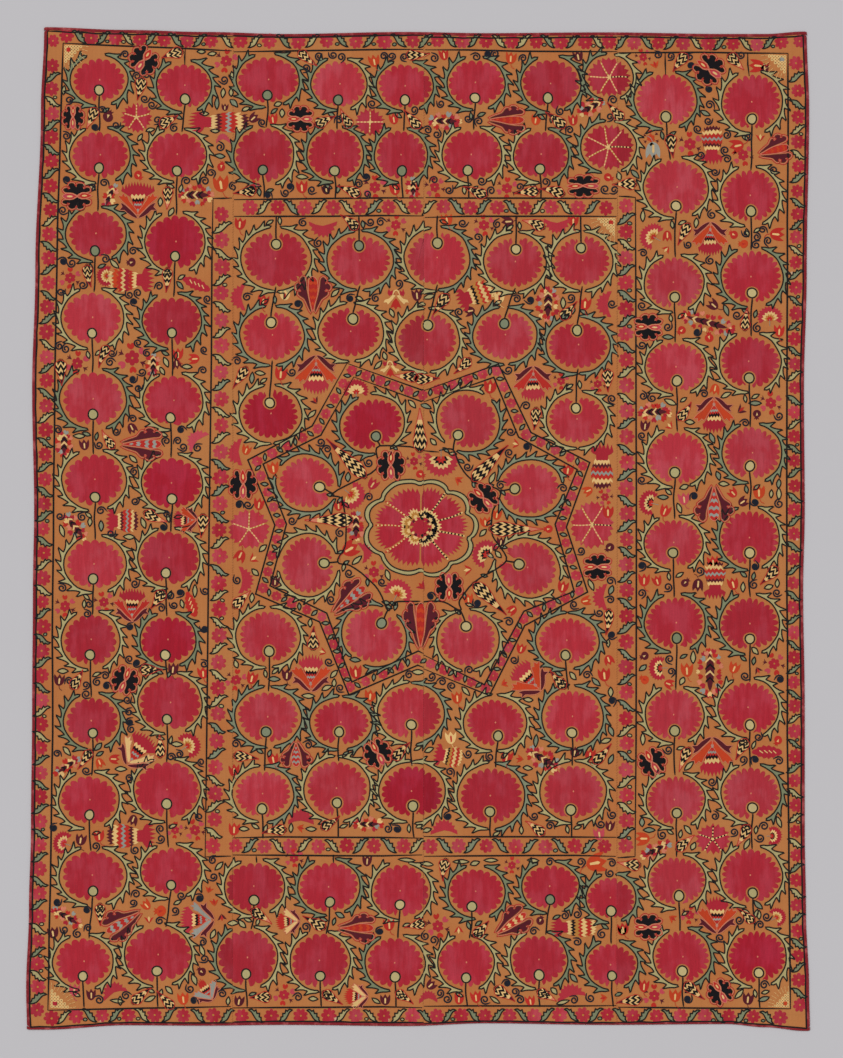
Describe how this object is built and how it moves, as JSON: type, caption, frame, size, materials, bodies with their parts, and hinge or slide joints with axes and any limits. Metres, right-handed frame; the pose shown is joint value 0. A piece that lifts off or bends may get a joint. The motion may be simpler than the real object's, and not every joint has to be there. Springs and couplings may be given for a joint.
{
  "type": "embroidered textile",
  "caption": "Large flat suzani cloth of narrow panels sewn side by side, embroidered with rosettes in thorny leaf wreaths, with a narrow bound edge.",
  "frame": {"origin": "middle of the cloth's outline, on its underside", "axes": "+Y towards the cloth's top edge, along its length; +X towards its right edge; +Z out of its embroidered face"},
  "size_m": [1.9597, 2.51, 0.003],
  "materials": {
    "ground_cloth": "matt woven cotton",
    "edge_binding": "matt woven tape"
  },
  "bodies": {
    "root": {"panel_1": "ground_cloth", "panel_2": "ground_cloth", "panel_3": "ground_cloth", "panel_4": "ground_cloth", "binding_left": "edge_binding", "binding_right": "edge_binding", "binding_top": "edge_binding", "binding_bottom": "edge_binding"}
  },
  "joints": []
}
